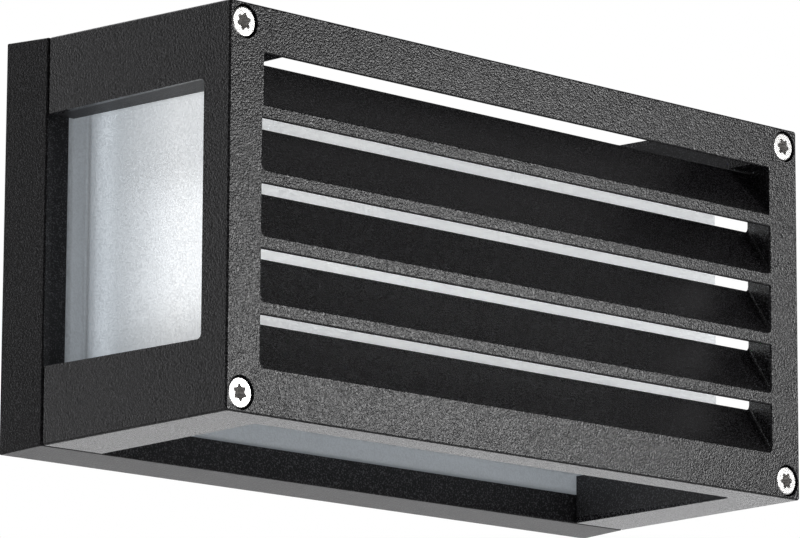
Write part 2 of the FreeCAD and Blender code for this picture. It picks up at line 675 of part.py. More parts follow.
def is_flange_corner(edge):
    return runs_along(edge, "y") and abs(mid_point(edge).x) > value("recess_width / 2 - 2 * flange_gap")


def is_flange_edge(edge):
    """The front edge round the outside of the flange."""
    middle = mid_point(edge)
    inside = (abs(middle.x) < value("recess_width / 2 - recess_round")
              and abs(middle.z) < value("glass_height / 2 + flange_gap"))
    return at_depth(middle, FLANGE_FRONT) and not inside


def is_inner_edge(edge):
    """A long edge of the hollow of the glass."""
    middle = mid_point(edge)
    return (runs_along(edge, "y") and abs(middle.x) < value("glass_width / 2 - glass_wall")
            and abs(middle.z) < value("glass_height / 2 - glass_wall"))


def make_gasket():
    body = new_body("diffuser_gasket")
    sketch = new_sketch(body, "outline", "XZ_Plane", FLOOR)
    outer = ("recess_width - 2 * flange_gap", "recess_height - 2 * flange_gap")
    draw_polygon(sketch, rectangle(outer[0], outer[1]))
    draw_polygon(sketch, rectangle(outer[0] + " - 2 * gasket_inset", outer[1] + " - 2 * gasket_inset"))
    pad(body, "ring", sketch, "gasket_thick")
    round_edges(body, "corners", "recess_round - flange_gap",
                lambda edge: runs_along(edge, "y") and abs(mid_point(edge).x) > value("glass_width / 2"))


# Fasteners

def socket_screw():
    """An M6 screw with a six-lobed socket. It points into the wall from its head's front face."""
    body = new_body("cage_screw_blank")
    revolve(body, "turned", [("0", "0"), ("head_across / 2", "0"), ("head_across / 2", "head_height"),
                             ("screw_across / 2", "head_height"),
                             ("screw_across / 2", "head_height + screw_length"),
                             ("0", "head_height + screw_length")], "V_Axis")
    round_edges(body, "head_edge", "head_round",
                lambda edge: abs(edge.CenterOfMass.y) < NEAR and len(edge.Vertexes) == 1)
    sketch = new_sketch(body, "socket_outline", "XZ_Plane")
    draw_circle(sketch, "0", "0", "socket_core")
    pocket(body, "socket", sketch, "socket_depth")
    sketch = new_sketch(body, "lobe_outline", "XZ_Plane")
    reach = "(socket_across - lobe_across) / 2"
    for lobe in range(LOBES):
        turn = math.tau * lobe / LOBES
        draw_circle(sketch, "%s * %.6f" % (reach, math.cos(turn)), "%s * %.6f" % (reach, math.sin(turn)),
                    "lobe_across")
    pocket(body, "lobes", sketch, "socket_depth")
    return body


def slotted_screw(label, shank, length, head, head_height):
    """A pan head screw that points along +Y from the seat of its head."""
    body = new_body(label)
    revolve(body, "turned", [("0", "-(%s)" % head_height), ("(%s) / 2" % head, "-(%s)" % head_height),
                             ("(%s) / 2" % head, "0"), ("(%s) / 2" % shank, "0"),
                             ("(%s) / 2" % shank, length), ("0", length)], "V_Axis")
    sketch = new_sketch(body, "slot_outline", "XZ_Plane", head_height)
    draw_polygon(sketch, rectangle("small_slot", "2 * (%s)" % head))
    pocket(body, "slot", sketch, "small_slot_depth")
    return body


def spots_at(depth, spots):
    straight = FreeCAD.Rotation()
    return [(vector(across, "-(%s)" % depth, up), straight) for across, up in spots]


def turned_spots(depth, spots, turns):
    """Places for screws whose sockets stand at different turns."""
    along = FreeCAD.Vector(0, 1, 0)
    return [(point, FreeCAD.Rotation(along, turn))
            for (point, straight), turn in zip(spots_at(depth, spots), turns)]


def make_fasteners():
    cage_screw = socket_screw()
    copies("cage_screws", cage_screw, turned_spots(HEAD_FRONT, foot_spots(), SOCKET_TURNS))
    screw = slotted_screw("small_screw_blank", "small_screw", "small_screw_length", "small_head",
                          "small_head_height")
    copies("tray_screws", screw, spots_at(TRAY_FRONT, tray_spots()))
    copies("bracket_screws", screw, spots_at(TRAY_FRONT + " + bracket_sheet", bracket_spots()))
    sideways = FreeCAD.Rotation(FreeCAD.Vector(0, 0, 1), -90)
    holder_places = [(vector("-(bracket_place)", "-(lamp_depth)", rise), sideways)
                     for rise in ("holder_screw_rise", "-holder_screw_rise")]
    copies("lampholder_screws", screw, holder_places)
    earth_seat = "%s + earth_proud + 2 * washer_thick" % TRAY_FRONT
    copies("earth_screw", screw, spots_at(earth_seat, [("earth_place", "-earth_drop")]))


# The tray

def make_tray():
    body = new_body("reflector_tray")
    sketch = new_sketch(body, "outline", "XZ_Plane", TRAY_BACK)
    draw_polygon(sketch, rectangle("tray_width", "tray_height"))
    pad(body, "block", sketch, "tray_depth")
    round_edges(body, "corners", "tray_round", lambda edge: runs_along(edge, "y"))
    sketch = new_sketch(body, "inside_outline", "XZ_Plane", TRAY_BACK + " + tray_depth")
    inner = ("tray_width - 2 * tray_sheet", "tray_height - 2 * tray_sheet")
    draw_polygon(sketch, rectangle(inner[0], inner[1]))
    round_corners(sketch, len(CORNERS), "tray_round - tray_sheet")
    pocket(body, "inside", sketch, "tray_depth - tray_sheet")
    sketch = new_sketch(body, "hole_outline", "XZ_Plane", TRAY_BACK + " + tray_depth")
    for across, up in wall_spots() + [("entry_place", "0")]:
        draw_circle(sketch, across, up, "tray_hole")
    draw_circle(sketch, "earth_place", "-earth_drop", "earth_pad + 2 * screw_clearance")
    for across, up in bracket_spots() + tray_spots():
        draw_circle(sketch, across, up, "small_screw + 2 * fit_gap")
    draw_circle(sketch, fixing_place(), "-block_drop", "grub_across + 2 * fit_gap")
    pocket(body, "holes", sketch, "tray_depth + overrun / 2")


# The lampholder on its bracket

def make_bracket():
    body = new_body("lampholder_bracket")
    sketch = new_sketch(body, "foot_outline", "XZ_Plane", TRAY_FRONT)
    left = "-(bracket_place)"
    half = "bracket_foot_rise / 2"
    draw_polygon(sketch, [(left, "-" + half), (left + " + bracket_foot", "-" + half),
                          (left + " + bracket_foot", half), (left, half)])
    pad(body, "foot", sketch, "bracket_sheet")
    sketch = new_sketch(body, "upright_outline", "YZ_Plane", left)
    top = "-(lamp_depth + bracket_reach)"
    draw_polygon(sketch, [(top, "-bracket_width / 2"), ("-%s" % TRAY_FRONT, "-bracket_width / 2"),
                          ("-%s" % TRAY_FRONT, "bracket_width / 2"), (top, "bracket_width / 2")])
    pad(body, "upright", sketch, "bracket_sheet")
    end = "lamp_depth + bracket_reach"
    round_edges(body, "upright_corners", "bracket_round",
                lambda edge: runs_along(edge, "x") and at_depth(mid_point(edge), end))
    sketch = new_sketch(body, "foot_hole_outline", "XZ_Plane", TRAY_FRONT + " + bracket_sheet")
    for across, up in bracket_spots():
        draw_circle(sketch, across, up, "small_screw + 2 * fit_gap")
    pocket(body, "foot_holes", sketch, "2 * bracket_sheet")
    sketch = new_sketch(body, "upright_hole_outline", "YZ_Plane", left + " + bracket_sheet")
    for rise in ("holder_screw_rise", "-holder_screw_rise"):
        draw_circle(sketch, "-(lamp_depth)", rise, "small_screw + 2 * fit_gap")
    pocket(body, "upright_holes", sketch, "2 * bracket_sheet")


def make_holder():
    """The porcelain body, turned about X with its back at the origin of its own frame."""
    body = new_body("lampholder_body")
    outer = "holder_across / 2"
    inner = "holder_bore / 2"
    mouth = "holder_length - holder_mouth_depth"
    revolve(body, "turned", [("0", "0"), ("0", outer), ("holder_length", outer),
                             ("holder_length", "holder_mouth / 2"), (mouth, "holder_mouth / 2"),
                             (mouth, inner), ("holder_back", inner), ("holder_back", "0")], "H_Axis")
    round_edges(body, "edges", "holder_round", is_holder_rim)
    sketch = new_sketch(body, "screw_outline", "YZ_Plane")
    for rise in ("holder_screw_rise", "-holder_screw_rise"):
        draw_circle(sketch, "0", rise, "small_screw + 2 * fit_gap")
    pocket(body, "screw_holes", sketch, "small_screw_length", forward=True)
    sketch = new_sketch(body, "lead_outline", "XY_Plane", "-holder_across / 2 - overrun")
    for spot in holder_lead_spots():
        draw_circle(sketch, spot, "0", "lead_hole")
    pocket(body, "lead_holes", sketch, "overrun + lead_hole_depth", forward=True)
    place(body, HOLDER_BACK, "lamp_depth")


def holder_lead_spots():
    return ["lead_hole", "3 * lead_hole"]


def is_holder_rim(edge):
    wide = isinstance(edge.Curve, Part.Circle) and edge.Curve.Radius > value("holder_across / 2") - NEAR
    return wide and len(edge.Vertexes) == 1


def make_holder_shell():
    body = new_body("lampholder_shell")
    start = "holder_length - holder_mouth_depth - shell_length"
    outer = "shell_across / 2"
    revolve(body, "turned", [(start, outer), (start + " + shell_length", outer),
                             (start + " + shell_length", outer + " - shell_wall"),
                             (start + " + shell_wall", outer + " - shell_wall"),
                             (start + " + shell_wall", "ring_across / 2"), (start, "ring_across / 2")],
            "H_Axis")
    place(body, HOLDER_BACK, "lamp_depth")


def make_tongue():
    """The sprung strip that presses on the lamp's contact."""
    body = new_body("lampholder_contact")
    half = "tongue_foot / 2"
    top = "tongue_height"
    sheet_line = [("0", "-" + half), ("0", half), ("tongue_sheet", half), ("tongue_sheet", "0"),
                  (top, "-" + half + " / 3"), (top, "-" + half), (top + " - tongue_sheet", "-" + half),
                  (top + " - tongue_sheet", "-" + half + " / 2"), ("tongue_sheet", "-" + half + " / 4"),
                  ("tongue_sheet", "-" + half)]
    sketch = new_sketch(body, "outline", "XY_Plane")
    draw_polygon(sketch, sheet_line)
    pad(body, "strip", sketch, "tongue_width", both_ways=True)
    place(body, HOLDER_FLOOR, "lamp_depth")


# The lamp

def make_lamp():
    button = new_body("lamp_contact")
    revolve(button, "turned", [("0", "0"), ("0", "button_across / 2 - button_height / 2"),
                               ("button_height / 2", "button_across / 2"),
                               ("button_height", "button_across / 2"), ("button_height", "0")], "H_Axis")
    place(button, LAMP_TIP, "lamp_depth")
    ring = new_body("lamp_insulator")
    revolve(ring, "turned", [("0", "0"), ("0", "button_across / 2"), ("ring_height", "ring_across / 2"),
                             ("ring_height", "0")], "H_Axis")
    place(ring, LAMP_TIP + " + button_height", "lamp_depth")
    make_cap()
    collar = new_body("lamp_collar")
    revolve(collar, "turned", [("0", "0"), ("0", "neck_across / 2"), ("neck_length", "neck_across / 2"),
                               ("collar_length / 2", "lamp_across / 2"),
                               ("collar_length", "lamp_across / 2"), ("collar_length", "0")], "H_Axis")
    round_edges(collar, "shoulder", "front_round", lambda edge: is_circle_at(edge, "collar_length / 2"))
    place(collar, CAP_END, "lamp_depth")
    tube = new_body("lamp_tube")
    revolve(tube, "turned", [("0", "0"), ("0", "lamp_across / 2 - front_round"),
                             ("tube_length", "lamp_across / 2 - front_round"), ("tube_length", "0")],
            "H_Axis")
    round_edges(tube, "end", "tube_round", lambda edge: is_circle_at(edge, "tube_length"))
    place(tube, "tube_start", "lamp_depth")


def is_circle_at(edge, spot):
    return isinstance(edge.Curve, Part.Circle) and abs(edge.CenterOfMass.x - value(spot)) < NEAR


def make_cap():
    """The threaded cap: a plain skirt, then the thread's crests and roots."""
    body = new_body("lamp_cap")
    crest = "cap_across / 2"
    root = "cap_root / 2"
    corners = [("0", "0"), ("0", "ring_across / 2"), ("thread_pitch / 4", root)]
    for k in range(round(value("thread_turns"))):
        corners.append(("thread_pitch * (%d + 0.5)" % k, crest))
        corners.append(("thread_pitch * (%d + 0.75)" % k, crest))
        corners.append(("thread_pitch * (%d + 1)" % k, root))
        corners.append(("thread_pitch * (%d + 1.25)" % k, root))
    corners.append(("cap_length", root))
    corners.append(("cap_length", "0"))
    revolve(body, "turned", corners, "H_Axis")
    place(body, "cap_start", "lamp_depth")


# The terminal block

def pole_places():
    return ["block_place + %d * pole_pitch" % step for step in (-1, 0, 1)]


def fixing_place():
    """Between the middle pole and the right-hand one."""
    return "block_place + pole_pitch / 2"


def make_block():
    body = new_body("terminal_block")
    sketch = new_sketch(body, "outline", "XZ_Plane", TRAY_FRONT)
    left = "block_start"
    low = "-block_drop - block_rise / 2"
    draw_polygon(sketch, [(left, low), (left + " + block_width", low),
                          (left + " + block_width", low + " + block_rise"), (left, low + " + block_rise")])
    pad(body, "moulding", sketch, "block_height")
    round_edges(body, "edges", "block_round",
                lambda edge: at_depth(edge.CenterOfMass, TRAY_FRONT + " + block_height"))
    poles = new_sketch(body, "pole_outline", "XY_Plane", "-block_drop")
    screws = new_sketch(body, "screw_outline", "XZ_Plane", TRAY_FRONT + " + block_height")
    for across in pole_places():
        draw_circle(poles, across, "-%s" % POLE_DEPTH, "clamp_across + 2 * clamp_fit")
        for side in (-1, 1):
            draw_circle(screws, across, "-block_drop + %d * grub_spread" % side, "grub_hole")
    pocket(body, "poles", poles, "block_rise + overrun", both_ways=True)
    pocket(body, "screw_wells", screws, "block_height - pole_height")
    fixing = new_sketch(body, "fixing_outline", "XZ_Plane", TRAY_FRONT + " + block_height")
    draw_circle(fixing, fixing_place(), "-block_drop", "grub_across + 2 * fit_gap")
    pocket(body, "fixing_hole", fixing, "block_height + overrun")


def make_clamps():
    blank = new_body("clamp_blank")
    sketch = new_sketch(blank, "outline", "XY_Plane")
    draw_circle(sketch, "0", "0", "clamp_across")
    draw_circle(sketch, "0", "0", "clamp_bore")
    pad(blank, "sleeve", sketch, "clamp_length", both_ways=True)
    wells = new_sketch(blank, "well_outline", "XZ_Plane")
    for side in (-1, 1):
        draw_circle(wells, "0", "%d * grub_spread" % side, "grub_across")
    pocket(blank, "wells", wells, "clamp_across", forward=True)
    straight = FreeCAD.Rotation()
    places = [(vector(across, "-%s" % POLE_DEPTH, "-block_drop"), straight) for across in pole_places()]
    copies("terminal_clamps", blank, places)
    screw = new_body("grub_blank")
    revolve(screw, "turned", [("0", "0"), ("grub_across / 2 - fit_gap / 2", "0"),
                              ("grub_across / 2 - fit_gap / 2", "grub_length"), ("0", "grub_length")],
            "V_Axis")
    slot = new_sketch(screw, "slot_outline", "XZ_Plane")
    draw_polygon(slot, rectangle("small_slot", "2 * grub_across"))
    pocket(screw, "slot", slot, "small_slot_depth")
    head = "%s + grub_length - clamp_bore / 4" % POLE_DEPTH
    spots = [(across, "-block_drop + %d * grub_spread" % side) for across in pole_places()
             for side in (-1, 1)]
    copies("terminal_screws", screw, spots_at(head, spots))


def make_fixing_screw():
    """The thin screw between two poles that holds the block on the tray."""
    blank = slotted_screw("fixing_screw_blank", "grub_across - fit_gap", "block_height + pad_height / 2",
                          "grub_hole + fit_gap", "small_head_height / 2")
    spot = [(fixing_place(), "-block_drop")]
    copies("terminal_fixing_screw", blank, spots_at(TRAY_FRONT + " + block_height", spot))


# The earth point

def make_earth():
    washer = new_body("earth_washer")
    sketch = new_sketch(washer, "outline", "XZ_Plane", TRAY_FRONT + " + earth_proud + washer_thick")
    draw_circle(sketch, "earth_place", "-earth_drop", "washer_across")
    draw_circle(sketch, "earth_place", "-earth_drop", "small_screw + 2 * fit_gap")
    pad(washer, "disc", sketch, "washer_thick")
    ring = new_body("earth_ring")
    seat = TRAY_FRONT + " + earth_proud"
    sketch = new_sketch(ring, "eye_outline", "XZ_Plane", seat)
    draw_circle(sketch, "earth_place", "-earth_drop", "ring_width")
    pad(ring, "eye", sketch, "washer_thick")
    sketch = new_sketch(ring, "tail_outline", "XZ_Plane", seat)
    far = "earth_place + ring_width / 2 + crimp_length"
    draw_polygon(sketch, [("earth_place", "-earth_drop - crimp_across / 2"),
                          (far, "-earth_drop - crimp_across / 2"),
                          (far, "-earth_drop + crimp_across / 2"),
                          ("earth_place", "-earth_drop + crimp_across / 2")])
    pad(ring, "tail", sketch, "washer_thick")
    sketch = new_sketch(ring, "crimp_outline", "YZ_Plane", far + " - crimp_length + fit_gap")
    draw_circle(sketch, "-(%s + crimp_across / 2)" % seat, "-earth_drop", "crimp_across")
    pad(ring, "crimp", sketch, "crimp_length - fit_gap")
    sketch = new_sketch(ring, "hole_outline", "XZ_Plane", seat + " + washer_thick")
    draw_circle(sketch, "earth_place", "-earth_drop", "small_screw + 2 * fit_gap")
    pocket(ring, "hole", sketch, "2 * washer_thick")


def make_grommet():
    body = new_body("cable_grommet")
    bore = "grommet_bore / 2"
    waist = "entry_across / 2"
    flange = "grommet_flange / 2"
    end = "2 * grommet_lip + floor_thick"
    revolve(body, "turned", [(bore, "0"), (flange, "0"), (flange, "grommet_lip"), (waist, "grommet_lip"),
                             (waist, "grommet_lip + floor_thick"), (flange, "grommet_lip + floor_thick"),
                             (flange, end), (bore, end)], "V_Axis")
    place(body, "entry_place", FLOOR + " + grommet_lip")


# The leads

LOW_RUN = "-(tray_height / 2 - tray_sheet - lead_rest - lead_across / 2)"
LEAD_DEPTH = "(%s + lead_rest + lead_across / 2)" % TRAY_FRONT
BLOCK_LOW = "(-block_drop - clamp_length / 2)"


def holder_route(pole, row, entry):
    """From a pole of the block down to the tray's edge, along it and up into the holder."""
    run = "(%s + %d * (lead_across + lead_rest))" % (LOW_RUN, row)
    port = "(%s + %s)" % (HOLDER_BACK, entry)
    return [vector(pole, "-%s" % POLE_DEPTH, BLOCK_LOW),
            vector(pole, "-%s" % POLE_DEPTH, BLOCK_LOW + " - lead_bend"),
            vector(pole, "-%s" % LEAD_DEPTH, run + " + lead_bend"),
            vector(pole + " - lead_bend", "-%s" % LEAD_DEPTH, run),
            vector(port + " + 2 * lead_bend", "-%s" % LEAD_DEPTH, run),
            vector(port, "-%s - lead_bend" % LEAD_DEPTH, run),
            vector(port, "-(lamp_depth) + lead_bend / 2", run + " + lead_across"),
            vector(port, "-(lamp_depth)", "-holder_across / 2 - lead_bend"),
            vector(port, "-(lamp_depth)", "-holder_across / 2 + lead_hole_depth - lead_rest")]


def earth_route():
    pole = pole_places()[0]
    tail = "earth_place + ring_width / 2 + crimp_length"
    depth = "(%s + earth_proud + crimp_across / 2)" % TRAY_FRONT
    return [vector(pole, "-%s" % POLE_DEPTH, BLOCK_LOW),
            vector(pole, "-%s" % POLE_DEPTH, BLOCK_LOW + " - lead_bend"),
            vector(pole, "-%s" % depth, "-earth_drop + lead_across / 2"),
            vector(tail + " + lead_across", "-%s" % depth, "-earth_drop"),
            vector(tail, "-%s" % depth, "-earth_drop")]


def lead_path(points):
    """Straight runs joined by tangent arcs, each as large as its runs allow up to lead_bend."""
    edges = []
    start = points[0]
    for before, corner, after in zip(points, points[1:], points[2:]):
        back = (before - corner).normalize()
        ahead = (after - corner).normalize()
        turn = math.pi - back.getAngle(ahead)
        room = LEAD_RUN_SHARE * min((before - corner).Length, (after - corner).Length)
        reach = min(room, value("lead_bend") * math.tan(turn / 2))
        first = corner + back * reach
        last = corner + ahead * reach
        bow = reach * (1 / math.cos(turn / 2) - 1) / math.tan(turn / 2) if turn > NEAR else 0
        middle = corner + (back + ahead).normalize() * bow
        edges.append(Part.LineSegment(start, first).toShape())
        edges.append(Part.Arc(first, middle, last).toShape())
        start = last
    edges.append(Part.LineSegment(start, points[-1]).toShape())
    return Part.Wire(edges)


def make_lead(label, points):
    path = lead_path(points)
    radius = value("lead_across / 2")
    section = Part.Wire(Part.Circle(points[0], points[1] - points[0], radius).toShape())
    solid = path.makePipeShell([section], True, False)
    print(label, "length", round(path.Length, 1), "volume over section",
          round(solid.Volume / (math.pi * radius ** 2 * path.Length), 4))
    shape_node(label, solid)


def make_leads():
    near, far = holder_lead_spots()
    poles = pole_places()
    make_lead("live_lead", holder_route(poles[2], 0, near))
    make_lead("neutral_lead", holder_route(poles[1], 1, far))
    make_lead("earth_lead", earth_route())


NODES = ["base_housing", "louvre_cage", "glass_diffuser", "diffuser_gasket", "cage_screws",
         "reflector_tray", "tray_screws", "lampholder_bracket", "bracket_screws", "lampholder_body",
         "lampholder_shell", "lampholder_contact", "lampholder_screws", "lamp_cap", "lamp_insulator",
         "lamp_contact", "lamp_collar", "lamp_tube", "terminal_block", "terminal_clamps",
         "terminal_screws", "terminal_fixing_screw", "earth_screw", "earth_washer", "earth_ring",
         "live_lead", "neutral_lead", "earth_lead", "cable_grommet"]


def check_and_write():
    """Every object is sound before the first file is written."""
    doc.recompute()
    for item in doc.Objects:
        if "Invalid" in item.State or "Error" in item.State:
            raise RuntimeError("%s did not compute: %s" % (item.Name, item.State))
    nodes = {item.Label: item for item in doc.Objects if item.Label in NODES}
    for name in NODES:
        shape = nodes[name].Shape
        if shape.isNull() or not shape.isValid() or not shape.Solids:
            raise RuntimeError("%s has no sound solid" % name)
    os.makedirs("parts", exist_ok=True)
    for name in NODES:
        shape = nodes[name].Shape
        shape.exportStep("parts/%s.step" % name)
        print(name, len(shape.Solids), "solids", round(shape.Volume), "mm3")


make_cage()
make_base()
make_glass()
make_gasket()
make_fasteners()
make_tray()
make_bracket()
make_holder()
make_holder_shell()
make_tongue()
make_lamp()
make_block()
make_clamps()
make_fixing_screw()
make_earth()
make_grommet()
make_leads()
check_and_write()
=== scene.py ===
import json

import bpy
from mathutils import Matrix, Vector

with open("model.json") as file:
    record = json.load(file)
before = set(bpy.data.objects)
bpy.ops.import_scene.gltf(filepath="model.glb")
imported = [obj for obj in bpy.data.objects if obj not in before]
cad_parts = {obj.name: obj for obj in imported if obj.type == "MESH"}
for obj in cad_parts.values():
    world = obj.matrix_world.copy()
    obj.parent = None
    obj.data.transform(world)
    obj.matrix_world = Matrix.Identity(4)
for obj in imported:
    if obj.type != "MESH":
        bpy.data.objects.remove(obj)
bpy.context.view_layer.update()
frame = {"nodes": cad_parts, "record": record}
nodes = frame["nodes"]


# Places on the light, in metres. The wall face is at Y 0, and the front at the lowest Y.
# In each pair a soft change starts at the first number and is complete at the second.

CAGE_INSIDE_X = (0.1296, 0.129)
CAGE_INSIDE_Y = (-0.0914, -0.0906)
CAGE_INSIDE_Z = (0.0632, 0.0626)

# Where the glass's painted light and shade lie: its flange, a painted shadow at its foot, a pale band, a
# broad glow, painted shade lower down and its front.
GLASS_FLANGE = (-0.0202, -0.0197)
GLASS_FOOT_SHADOW = (-0.0202, -0.0214)
GLASS_BAND_NEAR = (-0.0208, -0.0245)
GLASS_BAND_FAR = (-0.0335, -0.0285)
GLASS_FORWARD = (-0.021, -0.06)
GLASS_GLOW_DEPTH = (-0.028, -0.055)
GLASS_GLOW_DROP = 0.006
GLASS_GLOW_REACH = (0.027, 0.012)
GLASS_SHADE_RISE = (-0.024, -0.034)
GLASS_FRONT = (-0.0792, -0.0812)

# How strongly the glass's painted glow shines at its parts, where painted light adds to it and where
# painted shade takes from it

GLASS_BACK_POWER = 0.12
GLASS_FORWARD_POWER = 0.3
GLASS_BAND_POWER = 0.12
GLASS_GLOW_POWER = 0.13
GLASS_SHADE_POWER = -0.05
GLASS_FLANGE_POWER = 0.14
GLASS_FRONT_POWER = 0.26

# The sockets of the screws and the floor, in metres

SOCKET_MOUTH = (-0.1015, -0.1008)
SOCKET_FLOOR = (-0.0968, -0.0975)

FLOOR_HEIGHT = -1.6
FLOOR_HALF = 8.0
FLOOR_LIGHTENS = (2.2, 8.0)
FLOOR_FAR_POWER = 0.63

# The camera: the picture's size and its optical centre in pixels, the focal length in pixels, and the
# width of the sensor in millimetres

PICTURE_SIZE = (800, 538)
PICTURE_CENTRE = (419.3, 289.11)
FOCAL_PIXELS = 4864.29
SENSOR_WIDTH = 36.0

# The part of a noise's range in which nearly all of its values lie

MOST = (0.3, 0.7)


# Materials. Every pattern is a three-dimensional one in object coordinates, in metres.

class Maker:
    """A material under construction."""

    def __init__(self, name):
        self.material = bpy.data.materials.new(name)
        self.material.use_nodes = True
        self.tree = self.material.node_tree
        self.tree.nodes.clear()
        self.output = self.add("ShaderNodeOutputMaterial")
        self.shader = self.add("ShaderNodeBsdfPrincipled")
        self.join(self.shader.outputs["BSDF"], self.output.inputs["Surface"])
        self.place = self.add("ShaderNodeTexCoord").outputs["Object"]

    def add(self, kind, **settings):
        item = self.tree.nodes.new(kind)
        for key, setting in settings.items():
            setattr(item, key, setting)
        return item

    def join(self, start, end):
        self.tree.links.new(start, end)

    def put(self, socket, thing):
        """Sets a socket to a plain value, or joins another socket to it."""
        if isinstance(thing, bpy.types.NodeSocket):
            self.join(thing, socket)
        else:
            socket.default_value = thing

    def varied(self, **values):
        """Shader inputs that change over the surface, with _ for the space in their names."""
        for key, thing in values.items():
            self.put(self.shader.inputs[key.replace("_", " ")], thing)

    def even(self, **values):
        """Shader inputs that are the same all over."""
        for key, number in values.items():
            self.shader.inputs[key.replace("_", " ")].default_value = number

    def stretch(self, scale):
        item = self.add("ShaderNodeMapping")
        self.join(self.place, item.inputs["Vector"])
        item.inputs["Scale"].default_value = scale
        return item.outputs["Vector"]

    def noise(self, scale, detail=2.0, rough=0.5, place=None):
        item = self.add("ShaderNodeTexNoise")
        self.join(place or self.place, item.inputs["Vector"])
        item.inputs["Scale"].default_value = scale
        item.inputs["Detail"].default_value = detail
        item.inputs["Roughness"].default_value = rough
        return item.outputs["Fac"]

    def cells(self, scale):
        item = self.add("ShaderNodeTexVoronoi", feature="SMOOTH_F1")
        self.join(self.place, item.inputs["Vector"])
        item.inputs["Scale"].default_value = scale
        return item.outputs["Distance"]

    def sweep(self, thing, reach, result=(0.0, 1.0)):
        """Where the value goes through its reach, the result goes from its first number to its second."""
        item = self.add("ShaderNodeMapRange")
        for key, number in zip(("From Min", "From Max", "To Min", "To Max"), (*reach, *result)):
            item.inputs[key].default_value = number
        self.join(thing, item.inputs["Value"])
        return item.outputs["Result"]

    def maths(self, operation, *things):
        item = self.add("ShaderNodeMath", operation=operation)
        for socket, thing in zip(item.inputs, things):
            self.put(socket, thing)
        return item.outputs["Value"]

    def lower(self, first, second):
        return self.maths("MINIMUM", first, second)

    def size_of(self, thing):
        return self.maths("ABSOLUTE", thing)

    def more(self, total, thing, weight):
        """The total, with the thing added at its weight."""
        return self.maths("MULTIPLY_ADD", thing, weight, total)

    def blend(self, share, first, second):
        item = self.add("ShaderNodeMix", data_type="RGBA", blend_type="MIX")
        self.put(item.inputs["Factor"], share)
        for name, thing in (("A", first), ("B", second)):
            self.put(item.inputs[name], thing if isinstance(thing, bpy.types.NodeSocket) else (*thing, 1.0))
        return next(socket for socket in item.outputs if socket.type == "RGBA")

    def axis(self, name):
        item = self.add("ShaderNodeSeparateXYZ")
        self.join(self.place, item.inputs["Vector"])
        return item.outputs[name]

    def bump(self, height, depth, strength):
        item = self.add("ShaderNodeBump")
        item.inputs["Strength"].default_value = strength
        item.inputs["Distance"].default_value = depth
        self.join(height, item.inputs["Height"])
        self.join(item.outputs["Normal"], self.shader.inputs["Normal"])


def cast_paint(name, share, index, rough):
    """Fine textured powder coat: dark lacquer over small lumps that catch the light, with bright flecks
    painted into its colour as glints, duller inside.
    """
    m = Maker(name)
    grain = m.noise(scale=2300, detail=0.0)
    lumps = m.cells(scale=1500)
    drift = m.noise(scale=14)
    dark = tuple(share * level for level in (0.008, 0.0076, 0.0084))
    # Painted highlight: bright flecks in the colour stand in for glints of lumps catching the light.
    painted_glint = tuple(share * level for level in (0.085, 0.083, 0.09))
    dusty = tuple(share * level for level in (0.024, 0.023, 0.025))
    tone = m.blend(m.sweep(drift, MOST, (0.0, 0.2)), dark, dusty)
    tone = m.blend(m.sweep(grain, (0.54, 0.72)), tone, painted_glint)
    inside = m.lower(m.sweep(m.size_of(m.axis("X")), CAGE_INSIDE_X),
                     m.sweep(m.size_of(m.axis("Z")), CAGE_INSIDE_Z))
    inside = m.lower(inside, m.sweep(m.axis("Y"), CAGE_INSIDE_Y))
    m.varied(Base_Color=tone, Roughness=m.more(m.sweep(grain, MOST, rough), inside, 0.3))
    m.even(IOR=index)
    m.bump(m.more(m.maths("MULTIPLY", lumps, -0.5), grain, 0.5), depth=0.00014, strength=1.0)
    return m.material


def painted_glass_glow(m):
    """How strongly the painted glow shines at each place on the glass, and its shares that are flange,
    front and forward.
    """
    depth = m.axis("Y")
    rise = m.axis("Z")
    flange = m.sweep(depth, GLASS_FLANGE)
    forward = m.sweep(depth, GLASS_FORWARD)
    front = m.sweep(depth, GLASS_FRONT)
    band = m.lower(m.sweep(depth, GLASS_BAND_NEAR), m.sweep(depth, GLASS_BAND_FAR))
    middle = m.sweep(m.size_of(m.maths("ADD", rise, GLASS_GLOW_DROP)), GLASS_GLOW_REACH)
    glow = m.maths("MULTIPLY", middle, m.sweep(depth, GLASS_GLOW_DEPTH))
    shade = m.maths("MULTIPLY", m.sweep(rise, GLASS_SHADE_RISE), forward)
    power = m.sweep(forward, (0.0, 1.0), (GLASS_BACK_POWER, GLASS_FORWARD_POWER))
    power = m.more(power, band, GLASS_BAND_POWER)
    power = m.more(power, glow, GLASS_GLOW_POWER)
    power = m.more(power, shade, GLASS_SHADE_POWER)
    # Painted shadow: the glow fades to nothing at the foot of the glass, beside the flange.
    power = m.maths("MULTIPLY", power, m.sweep(depth, GLASS_FOOT_SHADOW))
    power = m.more(power, flange, GLASS_FLANGE_POWER)
    power = m.maths("MULTIPLY", power, m.sweep(front, (0.0, 1.0), (1.0, 0.0)))
    power = m.more(power, front, GLASS_FRONT_POWER)
    return power, flange, front, forward


